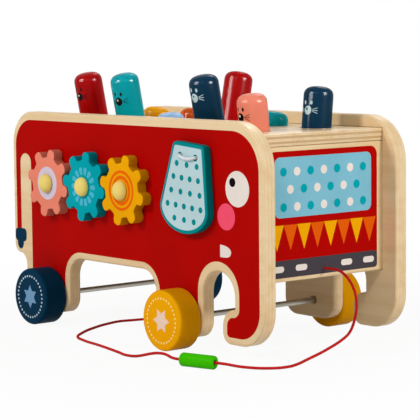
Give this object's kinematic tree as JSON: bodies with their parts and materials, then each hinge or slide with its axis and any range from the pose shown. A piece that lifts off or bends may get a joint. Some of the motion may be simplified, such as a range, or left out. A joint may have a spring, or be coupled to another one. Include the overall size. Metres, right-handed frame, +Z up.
{
  "type": "pounding toy",
  "caption": "Wooden elephant pull-along pounding toy with pegs on see-saws in a deck, meshed gears on one side, flapping ears, wheels and a pull cord.",
  "frame": {"origin": "on the floor, under the middle of the toy without its cord", "axes": "+X forward towards the trunk, +Y to the elephant's left, +Z up"},
  "size_m": [0.3577, 0.2307, 0.2142],
  "materials": {
    "print_red": "satin printed paint",
    "bare_wood": "clear matt lacquer",
    "peg_red": "gloss paint",
    "peg_teal": "gloss paint",
    "peg_navy": "gloss paint",
    "peg_pink": "gloss paint",
    "peg_yellow": "gloss paint",
    "peg_orange": "gloss paint",
    "peg_light_blue": "gloss paint",
    "gear_pink": "satin printed paint",
    "gear_teal": "satin printed paint",
    "gear_yellow": "satin printed paint",
    "cap_cream": "satin paint",
    "ear_blue": "satin printed paint",
    "wheel_navy": "satin paint",
    "wheel_yellow": "satin paint",
    "axle_steel": "drawn",
    "cord_red": "braided",
    "cord_white": "braided",
    "bead_green": "gloss paint"
  },
  "bodies": {
    "body": {"side_panel_right": "print_red", "side_panel_left": "print_red", "deck": "bare_wood", "front_panel": "print_red", "rear_panel": "bare_wood", "seesaw_rod": "bare_wood", "rod_spacer_1": "bare_wood", "rod_spacer_2": "bare_wood", "rod_spacer_3": "bare_wood", "rod_spacer_4": "bare_wood", "rod_spacer_5": "bare_wood", "rod_spacer_6": "bare_wood", "gear_pin_rear": "cap_cream", "gear_pin_middle": "cap_cream", "gear_pin_front": "cap_cream", "ear_loop_right": "cord_white", "ear_loop_left": "cord_white", "pull_cord": "cord_red", "cord_bead": "bead_green", "cord_anchor_knot": "cord_red", "cord_end_knot": "cord_red"},
    "peg_right_1": {"peg_right_1": "peg_red", "stop_pin_right_1": "bare_wood"},
    "peg_left_1": {"peg_left_1": "peg_yellow", "stop_pin_left_1": "bare_wood"},
    "seesaw_1": {"seesaw_1": "bare_wood"},
    "peg_right_2": {"peg_right_2": "peg_teal", "stop_pin_right_2": "bare_wood"},
    "peg_left_2": {"peg_left_2": "peg_orange", "stop_pin_left_2": "bare_wood"},
    "seesaw_2": {"seesaw_2": "bare_wood"},
    "peg_right_3": {"peg_right_3": "peg_light_blue", "stop_pin_right_3": "bare_wood"},
    "peg_left_3": {"peg_left_3": "peg_red", "stop_pin_left_3": "bare_wood"},
    "seesaw_3": {"seesaw_3": "bare_wood"},
    "peg_right_4": {"peg_right_4": "peg_navy", "stop_pin_right_4": "bare_wood"},
    "peg_left_4": {"peg_left_4": "peg_teal", "stop_pin_left_4": "bare_wood"},
    "seesaw_4": {"seesaw_4": "bare_wood"},
    "peg_right_5": {"peg_right_5": "peg_pink", "stop_pin_right_5": "bare_wood"},
    "peg_left_5": {"peg_left_5": "peg_navy", "stop_pin_left_5": "bare_wood"},
    "seesaw_5": {"seesaw_5": "bare_wood"},
    "gear_rear": {"gear_rear": "gear_pink"},
    "gear_middle": {"gear_middle": "gear_teal"},
    "gear_front": {"gear_front": "gear_yellow"},
    "ear_right": {"ear_right": "ear_blue", "ear_stitch_right": "cord_white"},
    "ear_left": {"ear_left": "ear_blue", "ear_stitch_left": "cord_white"},
    "wheelset_front": {"axle_front": "axle_steel", "wheel_front_right": "wheel_yellow", "wheel_front_left": "wheel_yellow"},
    "wheelset_rear": {"axle_rear": "axle_steel", "wheel_rear_right": "wheel_navy", "wheel_rear_left": "wheel_navy"}
  },
  "joints": [
    {"name": "peg_right_1_slide", "type": "slide", "parent": "body", "child": "peg_right_1", "axis": [0, -0.1908, 0.9816], "range_m": [-0.0325, 0]},
    {"name": "peg_left_1_slide", "type": "slide", "parent": "body", "child": "peg_left_1", "axis": [0, 0.1219, 0.9925], "range_m": [0, 0.0325]},
    {"name": "seesaw_1_tilt", "type": "hinge", "parent": "body", "child": "seesaw_1", "pos_m": [-0.10075, 0, 0.1488], "axis": [1, 0, 0], "range_deg": [0, 59.25]},
    {"name": "peg_right_2_slide", "type": "slide", "parent": "body", "child": "peg_right_2", "axis": [0, -0.1908, 0.9816], "range_m": [-0.0325, 0]},
    {"name": "peg_left_2_slide", "type": "slide", "parent": "body", "child": "peg_left_2", "axis": [0, 0.1219, 0.9925], "range_m": [0, 0.0325]},
    {"name": "seesaw_2_tilt", "type": "hinge", "parent": "body", "child": "seesaw_2", "pos_m": [-0.04875, 0, 0.1488], "axis": [1, 0, 0], "range_deg": [0, 59.25]},
    {"name": "peg_right_3_slide", "type": "slide", "parent": "body", "child": "peg_right_3", "axis": [0, -0.1219, 0.9925], "range_m": [0, 0.0325]},
    {"name": "peg_left_3_slide", "type": "slide", "parent": "body", "child": "peg_left_3", "axis": [0, 0.1908, 0.9816], "range_m": [-0.0325, 0]},
    {"name": "seesaw_3_tilt", "type": "hinge", "parent": "body", "child": "seesaw_3", "pos_m": [0.00325, 0, 0.1488], "axis": [1, 0, 0], "range_deg": [-59.25, 0]},
    {"name": "peg_right_4_slide", "type": "slide", "parent": "body", "child": "peg_right_4", "axis": [0, -0.1908, 0.9816], "range_m": [-0.0325, 0]},
    {"name": "peg_left_4_slide", "type": "slide", "parent": "body", "child": "peg_left_4", "axis": [0, 0.1219, 0.9925], "range_m": [0, 0.0325]},
    {"name": "seesaw_4_tilt", "type": "hinge", "parent": "body", "child": "seesaw_4", "pos_m": [0.05525, 0, 0.1488], "axis": [1, 0, 0], "range_deg": [0, 59.25]},
    {"name": "peg_right_5_slide", "type": "slide", "parent": "body", "child": "peg_right_5", "axis": [0, -0.0958, 0.9954], "range_m": [-0.011, 0.0145]},
    {"name": "peg_left_5_slide", "type": "slide", "parent": "body", "child": "peg_left_5", "axis": [0, 0.0958, 0.9954], "range_m": [-0.0145, 0.011]},
    {"name": "seesaw_5_tilt", "type": "hinge", "parent": "body", "child": "seesaw_5", "pos_m": [0.10725, 0, 0.1488], "axis": [1, 0, 0], "range_deg": [-25.95, 19.7]},
    {"name": "gear_rear_spin", "type": "hinge", "parent": "body", "child": "gear_rear", "pos_m": [-0.10075, -0.0806, 0.1209], "axis": [0, 1, 0], "continuous": true},
    {"name": "gear_middle_spin", "type": "hinge", "parent": "body", "child": "gear_middle", "pos_m": [-0.04875, -0.0806, 0.1209], "axis": [0, 1, 0], "continuous": true},
    {"name": "gear_front_spin", "type": "hinge", "parent": "body", "child": "gear_front", "pos_m": [0.00325, -0.0806, 0.1209], "axis": [0, 1, 0], "continuous": true},
    {"name": "ear_right_flap", "type": "hinge", "parent": "body", "child": "ear_right", "pos_m": [0.08725, -0.0761, 0.1624], "axis": [0.9969, 0, -0.0785], "range_deg": [-45, 0]},
    {"name": "ear_left_flap", "type": "hinge", "parent": "body", "child": "ear_left", "pos_m": [0.08725, 0.0761, 0.1624], "axis": [0.9969, 0, -0.0785], "range_deg": [0, 45]},
    {"name": "wheelset_front_spin", "type": "hinge", "parent": "body", "child": "wheelset_front", "pos_m": [0.0695, 0, 0.024], "axis": [0, 1, 0], "continuous": true},
    {"name": "wheelset_rear_spin", "type": "hinge", "parent": "body", "child": "wheelset_rear", "pos_m": [-0.111, 0, 0.024], "axis": [0, 1, 0], "continuous": true}
  ],
  "couplings": [
    {"joint": "peg_left_1_slide", "follows": "peg_right_1_slide", "ratio": -1},
    {"joint": "seesaw_1_tilt", "follows": "peg_right_1_slide", "rad_per_m": -31.8},
    {"joint": "peg_left_2_slide", "follows": "peg_right_2_slide", "ratio": -1},
    {"joint": "seesaw_2_tilt", "follows": "peg_right_2_slide", "rad_per_m": -31.8},
    {"joint": "peg_left_3_slide", "follows": "peg_right_3_slide", "ratio": -1},
    {"joint": "seesaw_3_tilt", "follows": "peg_right_3_slide", "rad_per_m": -31.8},
    {"joint": "peg_left_4_slide", "follows": "peg_right_4_slide", "ratio": -1},
    {"joint": "seesaw_4_tilt", "follows": "peg_right_4_slide", "rad_per_m": -31.8},
    {"joint": "peg_left_5_slide", "follows": "peg_right_5_slide", "ratio": -1},
    {"joint": "seesaw_5_tilt", "follows": "peg_right_5_slide", "rad_per_m": -31.19},
    {"joint": "gear_rear_spin", "follows": "gear_middle_spin", "ratio": -1},
    {"joint": "gear_front_spin", "follows": "gear_middle_spin", "ratio": -1}
  ]
}
